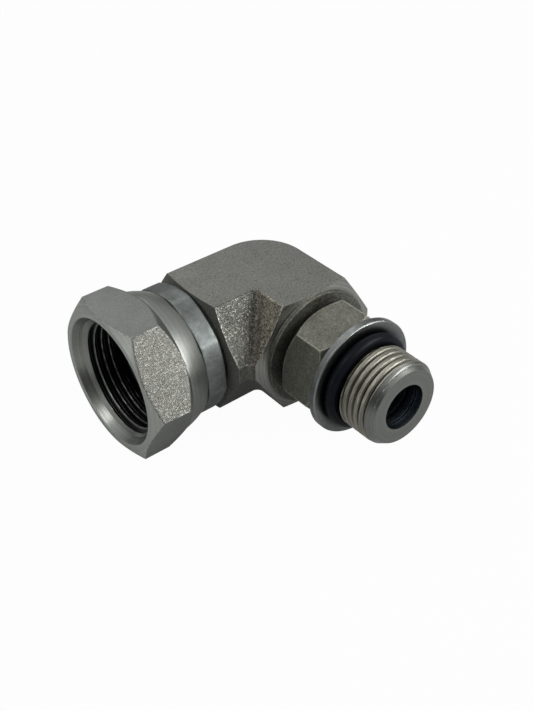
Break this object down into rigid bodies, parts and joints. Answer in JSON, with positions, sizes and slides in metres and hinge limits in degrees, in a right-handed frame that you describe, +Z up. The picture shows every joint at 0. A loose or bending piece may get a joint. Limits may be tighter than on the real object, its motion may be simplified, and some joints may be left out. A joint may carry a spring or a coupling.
{
  "type": "hydraulic elbow adapter",
  "caption": "Forged 90 degree hydraulic elbow with a crimped swivel nut on one port and an adjustable O-ring stud with lock nut on the other.",
  "frame": {"origin": "crossing of the two drilled passages, on the axis of the wider one", "axes": "+Z up, normal to the plane of the elbow; the swivel port faces -X and the stud port faces -Y"},
  "size_m": [0.0573, 0.0635, 0.032],
  "materials": {
    "forged_steel": "zinc plated, satin over a fine forged grain",
    "nut_steel": "zinc plated, satin flats and turned chamfers",
    "locknut_steel": "zinc plated, slightly olive satin",
    "washer_steel": "zinc plated, smooth",
    "seal_rubber": "glossy black nitrile rubber"
  },
  "bodies": {
    "elbow": {"elbow_body": "forged_steel", "o_ring": "seal_rubber"},
    "nut": {"swivel_nut": "nut_steel"},
    "washer": {"backup_washer": "washer_steel"},
    "lock": {"locknut": "locknut_steel"}
  },
  "joints": [
    {"name": "nut_swivel", "type": "hinge", "parent": "elbow", "child": "nut", "pos_m": [-0.036, 0, 0], "axis": [-1, 0, 0], "continuous": true},
    {"name": "washer_slide", "type": "slide", "parent": "elbow", "child": "washer", "axis": [0, 1, 0], "range_m": [0, 0.0013]},
    {"name": "locknut_turn", "type": "hinge", "parent": "washer", "child": "lock", "pos_m": [0, -0.0256, 0], "axis": [0, 1, 0], "range_deg": [0, 294]}
  ],
  "couplings": [
    {"joint": "washer_slide", "follows": "locknut_turn", "m_per_rad": 0.00025266}
  ]
}
